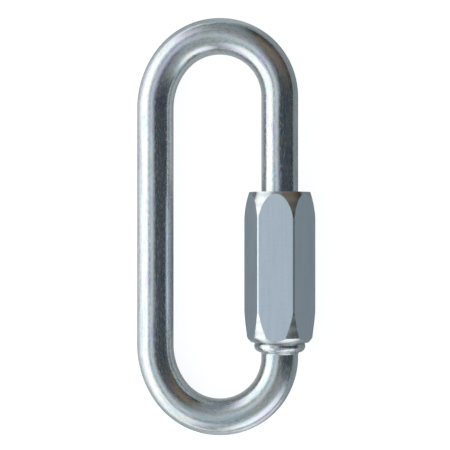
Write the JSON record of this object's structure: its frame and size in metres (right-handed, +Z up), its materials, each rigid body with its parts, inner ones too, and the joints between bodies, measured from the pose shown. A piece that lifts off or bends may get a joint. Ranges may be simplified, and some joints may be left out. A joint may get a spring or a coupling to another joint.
{
  "type": "chain quick link",
  "caption": "Long quick link of round steel bar bent into a loop, closed by a hexagonal sleeve nut that screws across the opening to join chain or rings.",
  "frame": {"origin": "centre of the bounding box, on the ground that the link lies on", "axes": "+Y along the link, towards the end that the sleeve opens to; +Z up from the ground; +X from the back arm to the sleeve"},
  "size_m": [0.0486, 0.1138, 0.0183],
  "materials": {
    "bar_zinc": "bright zinc plating over drawn round bar",
    "sleeve_zinc": "satin zinc plating over drawn hexagonal bar"
  },
  "bodies": {
    "link": {"link_bar": "bar_zinc"},
    "sleeve": {"sleeve_nut": "sleeve_zinc"}
  },
  "joints": [
    {"name": "sleeve_screw", "type": "slide", "parent": "link", "child": "sleeve", "axis": [0, 1, 0], "range_m": [0, 0.0165]}
  ]
}
